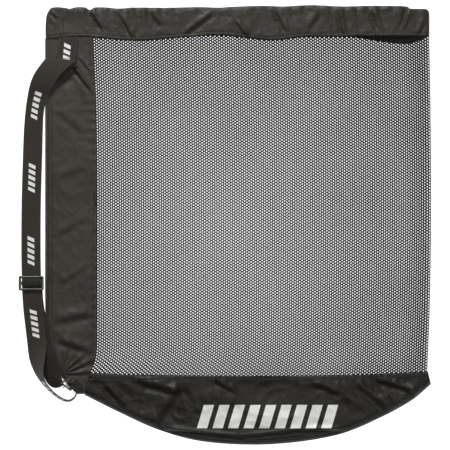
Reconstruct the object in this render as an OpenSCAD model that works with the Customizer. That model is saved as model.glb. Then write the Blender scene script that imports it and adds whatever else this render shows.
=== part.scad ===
// Mesh ball bag lying flat, mouth towards +Y, with a webbing shoulder strap along its left side.
// Origin: centre of the footprint, on the surface that the bag lies on. +Z is up.

/* [Bag] */
// X of the bag's left sewn edge
left_x = -277.5; // [-280:0.5:-276]
// Y of the line where the mouth hem meets the body
hem_y = 289; // [285:1:293]
// Y of the hem's open edge, the mouth of the bag
mouth_y = 339; // [334:1:345]
// Thickness of one fabric layer
layer_t = 0.8; // [0.6:0.1:1]
// Height of the mouth between the two hems
mouth_gap = 4.6; // [4.6:0.1:8]

/* [Mouth hem] */
// Outer thickness of the stitched channel
hem_t = 4; // [3.8:0.1:5]
// Wall of the channel
hem_wall = 0.6; // [0.4:0.1:0.7]
// Diameter of the drawcord in the channel
cord_d = 2.4; // [2:0.1:2.5]

/* [Seams] */
// Width of the binding tape inside each seam
tape_w = 10; // [6:1:12]
// Thickness of the binding tape
tape_t = 0.7; // [0.4:0.1:0.8]
// Thickness of the closed edge seams
edge_t = 1.2; // [0.8:0.1:2]

/* [Strap] */
// Width of the webbing
web_w = 30; // [28:1:30]
// Thickness of the webbing
web_t = 1.4; // [1:0.1:1.4]
// Free gap between parts that move past each other
clear = 0.3; // [0.2:0.05:0.4]

/* [Slider] */
// Width across the strap
slider_w = 39; // [38:0.5:42]
// Length along the strap
slider_l = 22.5; // [21:0.5:26]
// Thickness of the frame
slider_t = 2.8; // [2.4:0.1:3.2]
// Width of each outer bar
slider_bar = 3; // [2.5:0.1:3.2]
// Width of the centre bar
centre_bar = 4.5; // [4:0.1:4.6]
// Y of the slider's centre on the strap
slider_y = -90; // [-100:1:0]

/* [Grommet] */
// Outer diameter of the flanges
grommet_od = 17; // [16:0.5:19]
// Diameter of the hole
grommet_id = 10; // [9.5:0.5:11]
// Thickness of each flange
flange_t = 1; // [0.6:0.1:1.2]
// Height of the hole's centre above the surface
grommet_z = 18.5; // [18.5:0.5:20]

/* [Hidden] */
$fn = 48;

front_z = hem_t + mouth_gap;          // underside of the front layer
front_top = front_z + layer_t;
seam_steps = 6;                       // points that a smoothed seam gets between two of its own

// The seam between the side panel and the mesh, from the hem down.
side_seam = [
    [-203, hem_y], [-199.5, 180], [-198, 60], [-198, -60],
    [-198, -140], [-198.5, -190], [-202, -215], [-209, -229]
];
// The seam between the side panel and the bottom panel, below that.
corner_seam_end = [-216, -262];
// The seam between the mesh and the bottom panel, from left to right.
bottom_seam = [[-209, -229], [-130, -232], [40, -233.5], [200, -232], [313, -227]];
// The fold of the mesh on the right, from the hem down.
mesh_fold = [[316, hem_y], [318, 180], [319, 20], [317, -120], [313, -227]];
// The curved bottom edge, from right to left.
bottom_edge = [
    [313, -227], [319.5, -245], [288, -272], [232, -301], [169, -325],
    [110, -335], [39, -mouth_y], [-40, -333], [-105, -315], [-167, -287], [-216, -262]
];
// The sewn left edge, from the hem down, to the corner that the grommet gathers.
left_edge = [
    [left_x, hem_y], [left_x, 120], [left_x, -20], [left_x, -110],
    [left_x + 0.5, -165], [-273, -198], [-265, -219], [-256, -232]
];
corner_a = [-256, -232];
corner_b = [-231, -259];
corner_dir = atan2(corner_b.y - corner_a.y, corner_b.x - corner_a.x);
patch_t = 1.6;                        // the corner's doubled fabric
grommet_at = (corner_a + corner_b) / 2
    - patch_t / 2 * [cos(corner_dir + 90), sin(corner_dir + 90)];

cord_y = mouth_y - 22;
fold_w = 7;                           // how far a hem fold reaches in from the bag's edge
hem_left = left_x;
hem_right = 316;

slider_x = -319.5 + slider_w / 2;
run_z = 2 * clear + 1.5 * web_t;      // middle of the strap's upper layer
slider_z = run_z + web_t / 2 + clear; // underside of the slider
bar_z = slider_z + 1;                 // underside of the centre bar
bar_t = 1.4;
loop_t = 0.95;                        // the thinner end of the webbing, round the bar

// Catmull-Rom curve through the points of a list.
function at(p, i) = p[max(0, min(len(p) - 1, i))];
function between(a, b, c, d, t) =
    (2 * b + (c - a) * t + (2 * a - 5 * b + 4 * c - d) * t * t + (3 * b - a - 3 * c + d) * t * t * t) / 2;
function smooth(p, n = seam_steps) = [
    for (i = [0:len(p) - 2], k = [0:n - 1])
        between(at(p, i - 1), p[i], p[i + 1], at(p, i + 2), k / n),
    p[len(p) - 1]
];
function reversed(p) = [for (i = [len(p) - 1:-1:0]) p[i]];
// A list's own points moved sideways, to the left of its direction.
function heading(p, i) = atan2(at(p, i + 1).y - at(p, i - 1).y, at(p, i + 1).x - at(p, i - 1).x);
function shifted(p, d) = [
    for (i = [0:len(p) - 1]) p[i] + d * [cos(heading(p, i) + 90), sin(heading(p, i) + 90)]
];

// A flat layer of fabric between two heights.
module sheet(outline, z, t = layer_t) {
    translate([0, 0, z])
        linear_extrude(t)
            polygon(outline);
}

// A band that follows a seam, from d0 to d1 to the left of its direction.
module band(seam, d0, d1, z, t) {
    sheet(concat(shifted(seam, d0), reversed(shifted(seam, d1))), z, t);
}

// A strap swept along [x, y, z, width, roll]; roll 0 lies flat, and 90 stands on its edge.
module ribbon(route, t = web_t, n = 4) {
    r = smooth(route, n);
    corners = [[-1, -1], [1, -1], [1, 1], [-1, 1]];
    pts = [
        for (i = [0:len(r) - 1])
            let (
                a = heading(r, i) + 90,
                side = [cos(a), sin(a), 0],
                up = [0, 0, 1],
                across = side * cos(r[i][4]) + up * sin(r[i][4]),
                through = up * cos(r[i][4]) - side * sin(r[i][4])
            )
            for (c = corners)
                [r[i].x, r[i].y, r[i].z] + across * c.x * r[i][3] / 2 + through * c.y * t / 2
    ];
    walls = [
        for (i = [0:len(r) - 2], k = [0:3])
            let (a = 4 * i + k, b = 4 * i + (k + 1) % 4)
            each [[a, b + 4, b], [a, a + 4, b + 4]]
    ];
    last = 4 * (len(r) - 1);
    caps = [[0, 1, 2], [0, 2, 3], [last, last + 2, last + 1], [last, last + 3, last + 2]];
    polyhedron(pts, concat(walls, caps));
}

side_outline = concat(smooth(left_edge), [corner_b, corner_seam_end], reversed(smooth(side_seam)));
mesh_outline = concat(smooth(side_seam), smooth(bottom_seam), reversed(smooth(mesh_fold)));
bottom_outline = concat(smooth(bottom_seam), smooth(bottom_edge));
hem_outline = [
    [hem_left, hem_y], [hem_left, mouth_y - 16], [hem_left + 9, mouth_y - 2],
    [hem_left + 40, mouth_y], [hem_right - 4, mouth_y], [hem_right, mouth_y - 8], [hem_right, hem_y]
];

module front_mesh() { color("#3a3934") sheet(mesh_outline, front_z); }
module back_mesh() { color("#33322e") sheet(mesh_outline, 0); }
module mesh_side_fold() {
    color("#3a3934") band(smooth(mesh_fold), 0, -edge_t, layer_t, front_z - layer_t);
}

module front_side_panel() { color("#3d3b36") sheet(side_outline, front_z); }
module back_side_panel() { color("#36342f") sheet(side_outline, 0); }
module side_edge_seam() {
    color("#2c2b27") band(smooth(left_edge), 0, edge_t, layer_t, front_z - layer_t);
}

module front_bottom_panel() { color("#24231f") sheet(bottom_outline, front_z); }
module back_bottom_panel() { color("#201f1c") sheet(bottom_outline, 0); }
module bottom_edge_seam() {
    color("#1c1b18") band(smooth(bottom_edge), 0, -edge_t, layer_t, front_z - layer_t);
}

// Vertical passages that lead the drawcord from the front channel to the back one.
module cord_passages(d) {
    for (x = [hem_left + fold_w / 2 + 1, hem_right - fold_w / 2 - 1])
        translate([x, cord_y, -1])
            cylinder(d = d, h = front_z + hem_t + 2);
}

// A stitched channel, open inside along its whole length.
module hem(z, passage_z) {
    difference() {
        sheet(hem_outline, z, hem_t);
        translate([hem_left + 1, hem_y + 4, z + hem_wall])
            cube([hem_right - hem_left - 2, mouth_y - hem_y - 12, hem_t - 2 * hem_wall]);
        intersection() {
            cord_passages(cord_d + 0.4);
            translate([hem_left, hem_y, passage_z])
                cube([hem_right - hem_left, mouth_y - hem_y, hem_t / 2]);
        }
    }
}
module front_hem() { color("#3d3b35") hem(front_z, front_z - 0.5); }
module back_hem() { color("#35332e") hem(0, hem_t / 2 + 0.5); }

module hem_fold(x) {
    difference() {
        translate([x, hem_y, hem_t])
            cube([fold_w, mouth_y - hem_y - 16, mouth_gap]);
        cord_passages(cord_d + 0.4);
    }
}
module hem_left_fold() { color("#3d3b35") hem_fold(hem_left); }
module hem_right_fold() { color("#3d3b35") hem_fold(hem_right - fold_w); }

// One closed ring of cord: front run, back run and the short drops at the folds.
module drawcord() {
    low = hem_t / 2;
    high = front_z + hem_t / 2;
    ends = [hem_left + fold_w / 2 + 1, hem_right - fold_w / 2 - 1];
    color("#161616") {
        for (z = [low, high])
            translate([ends[0], cord_y, z])
                rotate([0, 90, 0])
                    cylinder(d = cord_d, h = ends[1] - ends[0]);
        for (x = ends, z = [low, high])
            translate([x, cord_y, z])
                sphere(d = cord_d);
        for (x = ends)
            translate([x, cord_y, low])
                cylinder(d = cord_d, h = high - low);
    }
}

module side_tape(z) { band(smooth(side_seam), -tape_w / 2, tape_w / 2, z, tape_t); }
module front_side_tape() { color("#191917") side_tape(front_z - tape_t); }
module back_side_tape() { color("#191917") side_tape(layer_t); }

// The bottom tape starts beyond the side tape and ends short of the fold.
module bottom_tape(z) {
    intersection() {
        band(smooth(bottom_seam), -tape_w / 2, tape_w / 2, z, tape_t);
        translate([-194, -300, 0])
            cube([500, 200, front_top]);
    }
}
module front_bottom_tape() { color("#191917") bottom_tape(front_z - tape_t); }
module back_bottom_tape() { color("#191917") bottom_tape(layer_t); }

// Doubled nylon under the strap's sewn end.
module strap_anchor_patch() {
    color("#2b2a26")
        sheet([[-276, hem_y], [-276, 262], [-229, 258], [-229, hem_y]], front_top);
}

// The strap's sewn end, and the fold that tucks the strap back under it.
module strap_sewn_end() {
    z = front_top + layer_t + web_t / 2;
    color("#22211e")
        ribbon([
            [-244, 286, z, web_w, 0], [-245, 268, z, web_w, 0], [-254, 254, z, web_w, 0],
            [-262, 249, z, web_w - 4, 0], [-266, 244, z, web_w - 4, 0]
        ]);
}

module strap_front_run() {
    on_bag = front_top + clear + web_t / 2 + 0.1;
    color("#232220")
        ribbon([
            [-272, 235, on_bag, web_w, 0], [-280, 221, on_bag, web_w, 0],
            [-291, 200, on_bag - 0.1, web_w, 0], [-295.5, 178, 8, web_w, 0],
            [-297.5, 152, 4.6, web_w, 0], [-299, 116, run_z, web_w, 0],
            [-300, 39, run_z, web_w, 0], [-300.5, -39, run_z, web_w, 0],
            [-299, slider_y, run_z, web_w, 0], [-296.5, -140, run_z, web_w, 0],
            [-295, -180, run_z, web_w - 1, 0], [-294, -212, run_z, web_w - 4, 0]
        ]);
}

// The lower layer, from the corner back up to the slider.
module strap_return_run() {
    color("#1c1b19")
        ribbon([
            [-299, slider_y + 6, clear + web_t / 2, web_w, 0],
            [-296.5, -140, clear + web_t / 2, web_w, 0],
            [-295, -180, clear + web_t / 2, web_w - 1, 0],
            [-294, -212, clear + web_t / 2, web_w - 4, 0]
        ]);
}

// The strap turns on its edge, passes round the corner and goes through the grommet.
module strap_corner_loop() {
    through = [cos(corner_dir + 90), sin(corner_dir + 90)];
    into = grommet_at + 9 * through;
    out = grommet_at - 6 * through;
    color("#232220")
        ribbon([
            [-294, -216.5, run_z, 26, 0], [-292, -227, 6.4, 26, 25],
            [-285.5, -239, 12, 26, 60], [-276, -249, 14, 26, 84],
            [-263, -260.5, 14.5, 26, 90], [-251, -269, 15, 24, 90],
            [-239, -272, 15.5, 19, 90], [-229, -266, 16, 12.5, 90],
            [-224, -255, grommet_z, 9.5, 90], [-225, -244, grommet_z, 8.5, 90],
            [into.x + 3, into.y + 0.5, grommet_z, 8, 90], [into.x - 3, into.y - 3.4, grommet_z, 8, 90],
            [grommet_at.x, grommet_at.y, grommet_z, 8, 90], [out.x, out.y, grommet_z, 8, 90]
        ], web_t, 5);
}

// Beyond the grommet the strap spreads again and goes back under its front run.
module strap_corner_return() {
    through = [cos(corner_dir + 90), sin(corner_dir + 90)];
    out = grommet_at - 6.05 * through;
    color("#1c1b19")
        ribbon([
            [out.x, out.y, grommet_z, 8, 90], [out.x - 6, out.y - 1, grommet_z - 1, 8, 90],
            [-264.5, -245, 11, 9, 80], [-272, -236, 6, 10, 55],
            [-279.5, -227, 2.6, 12, 12], [-286, -218.5, clear + web_t / 2, 14, 0]
        ]);
}

// Local frame of the gathered corner: +X points into the bag, through the grommet.
module at_corner() {
    translate([grommet_at.x, grommet_at.y, grommet_z])
        rotate([0, 0, corner_dir + 90])
            children();
}

module corner_patch() {
    length = norm(corner_b - corner_a) - 4;
    color("#2b2a26")
        at_corner()
            difference() {
                union() {
                    rotate([0, 90, 0])
                        cylinder(d = length * 0.74, h = patch_t, center = true);
                    translate([-patch_t / 2, -length / 2, -grommet_z])
                        cube([patch_t, length, front_top]);
                    translate([-patch_t / 2, -length * 0.37, -grommet_z + 1])
                        cube([patch_t, length * 0.74, grommet_z - 1]);
                }
                rotate([0, 90, 0])
                    cylinder(d = grommet_id + 1.2, h = patch_t + 1, center = true);
            }
}

// Eyelet: the barrel through the patch and the flange on the outside.
module grommet_eyelet() {
    color("#b9bbbd")
        at_corner()
            rotate([0, 90, 0])
                difference() {
                    union() {
                        translate([0, 0, -patch_t / 2 - flange_t])
                            cylinder(d = grommet_od, h = flange_t);
                        translate([0, 0, -patch_t / 2])
                            cylinder(d = grommet_id + 1.2, h = patch_t);
                    }
                    cylinder(d = grommet_id, h = 20, center = true);
                }
}

module grommet_washer() {
    color("#b9bbbd")
        at_corner()
            rotate([0, 90, 0])
                translate([0, 0, patch_t / 2])
                    difference() {
                        cylinder(d = grommet_od, h = flange_t);
                        translate([0, 0, -1])
                            cylinder(d = grommet_id, h = flange_t + 2);
                    }
}

// Rounded rectangle, centred.
module plate(w, l, r, h) {
    linear_extrude(h)
        union() {
            square([w - 2 * r, l], center = true);
            square([w, l - 2 * r], center = true);
            for (sx = [-1, 1], sy = [-1, 1])
                translate([sx * (w / 2 - r), sy * (l / 2 - r)])
                    circle(r);
        }
}

module at_slider(z = 0) { translate([slider_x, slider_y, z]) children(); }

module slider_frame() {
    slot_l = (slider_l - 2 * slider_bar - centre_bar) / 2;
    slot_y = centre_bar / 2 + slot_l / 2;
    color("#141414")
        at_slider(slider_z)
            difference() {
                plate(slider_w, slider_l, 3, slider_t);
                for (s = [-1, 1])
                    translate([-web_w / 2 - 0.5, s * slot_y - slot_l / 2, -1])
                        cube([web_w + 1, slot_l, slider_t + 2]);
                // the centre bar is thinner than the frame
                translate([-web_w / 2 - 0.5, -centre_bar / 2 - 1, -1])
                    cube([web_w + 1, centre_bar + 2, bar_z - slider_z + 1]);
                translate([-web_w / 2 - 0.5, -centre_bar / 2 - 1, bar_z - slider_z + bar_t])
                    cube([web_w + 1, centre_bar + 2, slider_t]);
            }
}

// An extrusion across the strap of an outline given as [along the strap, height].
module across_strap(w, outline) {
    translate([w / 2, 0, 0])
        rotate([90, 0, -90])
            linear_extrude(w)
                polygon(outline);
}

// The strap's far end, sewn round the centre bar.
module strap_end_loop() {
    h = centre_bar / 2;
    color("#1c1b19")
        at_slider()
            difference() {
                across_strap(web_w - 1, [
                    [-h - loop_t, bar_z - loop_t], [h + loop_t, bar_z - loop_t],
                    [h + loop_t, bar_z + bar_t + loop_t], [-h - loop_t, bar_z + bar_t + loop_t]
                ]);
                across_strap(web_w + 1, [
                    [-h, bar_z], [h, bar_z], [h, bar_z + bar_t], [-h, bar_z + bar_t]
                ]);
            }
}

// The strap where it rises through one slot and goes down through the other.
module strap_over_bar() {
    top = bar_z + bar_t + loop_t + 0.05;
    foot = slider_z;
    color("#232220")
        at_slider()
            across_strap(web_w, [
                [-8, foot], [-4.4, top + web_t], [4.4, top + web_t], [8, foot],
                [6.3, foot], [3.6, top], [-3.6, top], [-6.3, foot]
            ]);
}

front_mesh();
back_mesh();
mesh_side_fold();
front_side_panel();
back_side_panel();
side_edge_seam();
front_bottom_panel();
back_bottom_panel();
bottom_edge_seam();
front_hem();
back_hem();
hem_left_fold();
hem_right_fold();
drawcord();
front_side_tape();
back_side_tape();
front_bottom_tape();
back_bottom_tape();
strap_anchor_patch();
strap_sewn_end();
strap_corner_loop();
strap_corner_return();
corner_patch();
grommet_eyelet();
grommet_washer();
strap_front_run();
strap_return_run();
slider_frame();
strap_end_loop();
strap_over_bar();
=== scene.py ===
import math
import bmesh
import bpy
import numpy as np
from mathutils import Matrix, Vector


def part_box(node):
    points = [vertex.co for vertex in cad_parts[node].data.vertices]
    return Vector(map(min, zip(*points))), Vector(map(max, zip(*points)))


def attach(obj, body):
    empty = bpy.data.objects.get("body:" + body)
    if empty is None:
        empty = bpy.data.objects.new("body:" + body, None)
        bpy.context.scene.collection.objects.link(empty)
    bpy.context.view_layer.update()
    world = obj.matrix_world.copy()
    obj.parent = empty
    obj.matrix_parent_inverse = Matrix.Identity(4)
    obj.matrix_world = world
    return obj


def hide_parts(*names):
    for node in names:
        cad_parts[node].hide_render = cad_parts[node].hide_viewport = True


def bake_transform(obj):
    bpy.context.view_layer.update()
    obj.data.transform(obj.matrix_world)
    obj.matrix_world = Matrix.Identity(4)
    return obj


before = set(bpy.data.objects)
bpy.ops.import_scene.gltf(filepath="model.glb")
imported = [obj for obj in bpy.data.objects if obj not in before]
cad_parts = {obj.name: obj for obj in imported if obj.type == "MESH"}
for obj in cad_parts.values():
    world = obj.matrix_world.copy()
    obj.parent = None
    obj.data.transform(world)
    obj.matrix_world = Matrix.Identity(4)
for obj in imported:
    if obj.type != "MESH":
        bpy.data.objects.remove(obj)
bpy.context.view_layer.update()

# ---------------------------------------------------------------- units and camera
MM = 0.001
FRAME_WIDTH = 0.6975        # metres of floor that the picture spans
CAMERA_HEIGHT = 3.2
CAMERA_REACH = 50           # metres that the camera sees to
SENSOR = 36.0


def make_camera():
    data = bpy.data.cameras.new("camera")
    data.sensor_width = SENSOR
    data.lens = SENSOR * CAMERA_HEIGHT / FRAME_WIDTH
    data.clip_end = CAMERA_REACH
    camera = bpy.data.objects.new("camera", data)
    camera.location = (0, 0, CAMERA_HEIGHT)
    bpy.context.scene.collection.objects.link(camera)
    bpy.context.scene.camera = camera


make_camera()
bpy.context.scene.view_settings.view_transform = "Standard"

# ---------------------------------------------------------------- sizes, from the frame, in mm


def span(node):
    """Lowest and highest corner of a CAD node in millimetres."""
    low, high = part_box(node)
    return np.array(low) / MM, np.array(high) / MM


def middle(node):
    low, high = span(node)
    return (low + high) / 2


HEM_LOW, HEM_HIGH = span("front_hem")
LEFT = HEM_LOW[0]                       # left edge of the bag
HEM_Y, MOUTH_Y = HEM_LOW[1], HEM_HIGH[1]
FRONT_Z = span("front_mesh")[0][2]      # underside of the front layer
RUN_LOW = span("strap_front_run")[0]
SLIDER_LOW, SLIDER_HIGH = span("slider_frame")
SLIDER_MID = middle("slider_frame")
GROMMET = middle("grommet_eyelet")
WEB_W, WEB_T = 30.0, 1.4                # the strap's width and thickness
HEM_RIGHT = 316                         # right end of the hem
UNDER_HEM = 6                           # how far the cloth runs up under the hem

# The seams of the bag, each from one end to the other.
SIDE_SEAM = [(-204, 289), (-202, 240), (-199.5, 180), (-198, 60), (-198, -60),
             (-198, -140), (-198.5, -190), (-202, -213), (-209, -229)]
CORNER_SEAM = [(-209, -229), (-213, -245), (-217, -262)]
BOTTOM_SEAM = [(-209, -229), (-130, -232), (40, -233.5), (200, -232), (313, -227)]
MESH_FOLD = [(316, 289), (318, 180), (319, 20), (317, -120), (313, -227)]
BOTTOM_EDGE = [(-217, -262), (-167, -287), (-105, -315), (-40, -333), (39, -339),
               (110, -335), (169, -325), (204, -313.5), (234, -300), (264, -285), (292, -268), (317.8, -246)]
LEFT_EDGE = [(-277.5, 289), (-277.5, 120), (-277.5, -20), (-277.5, -110),
             (-276, -165), (-270, -200), (-262, -221), (-250, -238), (-231, -259)]


def smooth(points, n=400, steps=24):
    """A curve through the points, at n places an equal way apart."""
    p = np.array(points, float)
    q = np.vstack([2 * p[0] - p[1], p, 2 * p[-1] - p[-2]])
    t = np.linspace(0, 1, steps, endpoint=False)[:, None]
    rows = [(2 * b + (c - a) * t + (2 * a - 5 * b + 4 * c - d) * t ** 2 + (3 * b - a - 3 * c + d) * t ** 3) / 2
            for a, b, c, d in zip(q, q[1:], q[2:], q[3:])]
    return resample(np.vstack(rows + [p[-1:]]), n)


def lengths(p):
    """The way along a path to each of its points."""
    return np.concatenate([[0], np.cumsum(np.linalg.norm(np.diff(p, axis=0), axis=1))])


def resample(p, n):
    """n places an equal way apart on a path, whose columns are x, y, z and then anything else."""
    along = lengths(p[:, :3])
    at = np.linspace(0, along[-1], n)
    return np.stack([np.interp(at, along, p[:, k]) for k in range(p.shape[1])], axis=1)


def x_at(curve, y):
    """X of a curve that runs down the bag, where it passes y."""
    return np.interp(-y, -curve[:, 1], curve[:, 0])


SIDE_C, FOLD_C, LEFT_C = smooth(SIDE_SEAM), smooth(MESH_FOLD), smooth(LEFT_EDGE)
BOTTOM_C, EDGE_C = smooth(BOTTOM_SEAM), smooth(BOTTOM_EDGE)
CORNER_C = smooth(CORNER_SEAM, 60)


# ---------------------------------------------------------------- noise and folds


def waves(x, y, size, seed, count=9):
    """Smooth irregular waves between about -1 and 1, size millimetres across."""
    r = np.random.default_rng(seed)
    total = np.zeros_like(x, dtype=float)
    for _ in range(count):
        angle, phase = r.uniform(0, 2 * math.pi, 2)
        k = 2 * math.pi / (size * r.uniform(0.6, 1.7))
        bend = 0.9 * np.sin(k * 0.6 * (x * math.sin(angle) - y * math.cos(angle)) + phase * 2)
        total += np.sin(k * (x * math.cos(angle) + y * math.sin(angle)) + phase + bend)
    return total / math.sqrt(count * 1.3)


def rumple(x, y, size, seed):
    """Creased fabric: sharp ridges where the waves turn over."""
    a = 1 - np.abs(waves(x, y, size, seed))
    b = 1 - np.abs(waves(x, y, size * 0.55, seed + 50))
    return 0.7 * a + 0.4 * b - 0.7


def fold(x, y, a, b, width, height, taper=0.25):
    """A soft crease from a to b: a ridge beside a furrow, fading at both ends."""
    a, b = np.array(a, float), np.array(b, float)
    d = b - a
    n = np.hypot(*d)
    u = d / n
    t = ((x - a[0]) * u[0] + (y - a[1]) * u[1]) / n
    s = ((x - a[0]) * -u[1] + (y - a[1]) * u[0]) / width
    ends = np.clip(t / taper, 0, 1) * np.clip((1 - t) / taper, 0, 1)
    ends = ends * ends * (3 - 2 * ends)
    return 1.35 * height * ends * (np.exp(-(s - 0.45) ** 2 * 2.5) - 0.85 * np.exp(-(s + 0.55) ** 2 * 3.2))


def pucker(along, away, pitch, depth, reach, seed):
    """Gathers beside a stitched seam."""
    r = np.random.default_rng(seed)
    wobble = 1.4 * np.sin(along / (pitch * 4.3) + r.uniform(0, 6)) + np.sin(along / (pitch * 1.9))
    strong = 0.6 + 0.4 * np.sin(along / (pitch * 3.1) + r.uniform(0, 6))
    return depth * strong * np.sin(2 * math.pi * along / pitch + wobble) * np.exp(-away / reach)


# ---------------------------------------------------------------- meshes


def new_mesh(name, verts_mm, faces, material, cloth=None):
    """A mesh object from points in millimetres. cloth gives each point its place on the cloth."""
    me = bpy.data.meshes.new(name)
    faces = np.asarray(faces, np.int32)
    size = faces.shape[1]
    me.vertices.add(len(verts_mm))
    me.vertices.foreach_set("co", (np.asarray(verts_mm, float) * MM).astype(np.float32).ravel())
    me.loops.add(faces.size)
    me.loops.foreach_set("vertex_index", faces.ravel())
    me.polygons.add(len(faces))
    me.polygons.foreach_set("loop_start", np.arange(0, faces.size, size, dtype=np.int32))
    me.polygons.foreach_set("use_smooth", np.full(len(faces), True))
    me.update(calc_edges=True)
    me.validate()
    if cloth is not None:
        attribute = me.attributes.new("cloth", "FLOAT_VECTOR", "POINT")
        full = np.zeros((len(verts_mm), 3), np.float32)
        full[:, :cloth.shape[1]] = cloth
        attribute.data.foreach_set("vector", full.ravel())
    ob = bpy.data.objects.new(name, me)
    bpy.context.scene.collection.objects.link(ob)
    me.materials.append(material)
    return ob


def grid_faces(rows, columns, wrap=False, closed=False):
    """Quads of a grid of points. wrap joins each row's ends, closed the last row to the first."""
    r, c = np.meshgrid(np.arange(rows - 1), np.arange(columns if wrap else columns - 1), indexing="ij")
    r, c = r.ravel(), c.ravel()
    n = (c + 1) % columns
    faces = np.stack([r * columns + c, r * columns + n, (r + 1) * columns + n, (r + 1) * columns + c], axis=1)
    if closed:
        k, last = np.arange(columns), (rows - 1) * columns
        faces = np.vstack([faces, np.stack([last + k, last + np.roll(k, -1), np.roll(k, -1), k], axis=1)])
    return faces


def thicken(ob, mm):
    """Gives a sheet its thickness, downwards from its outer face."""
    m = ob.modifiers.new("thickness", "SOLIDIFY")
    m.thickness, m.offset = mm * MM, -1
    apply_modifiers(ob)


def apply_modifiers(ob):
    dg = bpy.context.evaluated_depsgraph_get()
    me = bpy.data.meshes.new_from_object(ob.evaluated_get(dg))
    old = ob.data
    ob.modifiers.clear()
    ob.data = me
    bpy.data.meshes.remove(old)


def finish_piece(ob, body, slot, *nodes):
    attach(ob, body)
    if nodes:
        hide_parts(*nodes)
    return ob


# ---------------------------------------------------------------- materials


class Shader:
    """Builds a node tree with short calls."""

    def __init__(self, name, rough, **fixed):
        self.m = bpy.data.materials.new(name)
        self.m.use_nodes = True
        self.t = self.m.node_tree
        self.out = self.t.nodes["Principled BSDF"]
        self.out.inputs["Roughness"].default_value = rough
        for key, value in fixed.items():
            self.out.inputs[key.replace("_", " ")].default_value = value

    def node(self, kind, **values):
        n = self.t.nodes.new(kind)
        for k, v in values.items():
            setattr(n, k, v)
        return n

    def put(self, socket, value):
        if hasattr(value, "is_output") or isinstance(value, bpy.types.NodeSocket):
            self.t.links.new(value, socket)
        else:
            socket.default_value = value

    def math(self, op, a, b=0.0, c=0.0):
        n = self.node("ShaderNodeMath", operation=op)
        for s, v in zip(n.inputs, (a, b, c)):
            self.put(s, v)
        return n.outputs[0]

    def cloth(self):
        """The point's place on the cloth in millimetres: across and along."""
        a = self.node("ShaderNodeAttribute", attribute_name="cloth")
        s = self.node("ShaderNodeSeparateXYZ")
        self.put(s.inputs[0], a.outputs["Vector"])
        return s.outputs[0], s.outputs[1]

    def noise(self, where, scale, detail=3.0, rough=0.5):
        n = self.node("ShaderNodeTexNoise")
        self.put(n.inputs["Vector"], where)
        n.inputs["Scale"].default_value = scale
        n.inputs["Detail"].default_value = detail
        n.inputs["Roughness"].default_value = rough
        return n.outputs["Fac"]

    def position(self):
        return self.node("ShaderNodeTexCoord").outputs["Object"]

    def remap(self, value, a, b, c, d):
        n = self.node("ShaderNodeMapRange")
        for s, v in zip(n.inputs, (value, a, b, c, d)):
            self.put(s, v)
        return n.outputs[0]

    def mix(self, factor, a, b):
        n = self.node("ShaderNodeMix", data_type="RGBA")
        self.put(n.inputs["Factor"], factor)
        for socket, colour in ((n.inputs[6], a), (n.inputs[7], b)):
            self.put(socket, colour if isinstance(colour, bpy.types.NodeSocket) else (*colour, 1))
        return n.outputs[2]

    def colour(self, value):
        self.put(self.out.inputs["Base Color"], value)

    def rough(self, value):
        self.put(self.out.inputs["Roughness"], value)

    def bump(self, height, strength, distance_mm):
        n = self.node("ShaderNodeBump")
        n.inputs["Strength"].default_value = strength
        n.inputs["Distance"].default_value = distance_mm * MM
        self.put(n.inputs["Height"], height)
        self.put(self.out.inputs["Normal"], n.outputs[0])


def tint(colour, factor):
    return tuple(min(1.0, c * factor) for c in colour)


PRINT_WHITE = (0.95, 0.95, 0.93)
PRINT_REPEAT = 113.0                    # the strap's marks come again after this many mm
PRINT_Y = -296.0                        # middle of the band on the bottom panel


def nylon(name, colour, rough, sheen, print_mask=None, weave=0.9):
    """Plain-woven coated nylon: fine threads, a slight sheen, uneven dye and rubbed high spots."""
    s = Shader(name, rough, Sheen_Weight=sheen, Sheen_Roughness=0.45, Specular_IOR_Level=0.4)
    u, v = s.cloth()
    warp = s.math("SINE", s.math("MULTIPLY", u, 2 * math.pi / weave))
    weft = s.math("SINE", s.math("MULTIPLY", v, 2 * math.pi / weave))
    threads = s.math("MULTIPLY", warp, weft)
    slub = s.noise(s.position(), 420, 2.0)
    cloudy = s.noise(s.position(), 22, 4.0, 0.6)
    rubbed = s.noise(s.position(), 90, 5.0, 0.65)
    body = s.mix(s.remap(cloudy, 0.3, 0.7, 0, 1), tint(colour, 0.84), tint(colour, 1.12))
    body = s.mix(s.remap(threads, -1, 1, 0.0, 0.45), body, tint(colour, 1.35))
    body = s.mix(s.remap(rubbed, 0.58, 0.8, 0, 0.35), body, tint(colour, 1.7))
    if print_mask:
        ink = print_mask(s, u, v)
        wear = s.remap(s.noise(s.position(), 700, 3.0), 0.3, 0.42, 0.8, 1)
        body = s.mix(s.math("MULTIPLY", ink, wear), body, PRINT_WHITE)
    s.colour(body)
    s.rough(s.remap(rubbed, 0.35, 0.75, rough + 0.06, rough - 0.07))
    height = s.math("ADD", s.math("MULTIPLY", threads, 0.5), s.math("MULTIPLY", slub, 1.2))
    s.bump(height, 0.55, 0.12)
    return s.m


def slanted_bars(s, along, across, start, end, pitch, share, low, high, slant):
    """A mask of slanted bars between two ends along a line, low to high across it."""
    shifted = s.math("SUBTRACT", along, s.math("MULTIPLY", across, slant))
    phase = s.math("FRACT", s.math("DIVIDE", s.math("SUBTRACT", shifted, start), pitch))
    on = s.math("LESS_THAN", phase, share)
    for value, op, limit in ((shifted, "GREATER_THAN", start), (shifted, "LESS_THAN", end),
                             (across, "GREATER_THAN", low), (across, "LESS_THAN", high)):
        on = s.math("MULTIPLY", on, s.math(op, value, limit))
    return on


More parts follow.
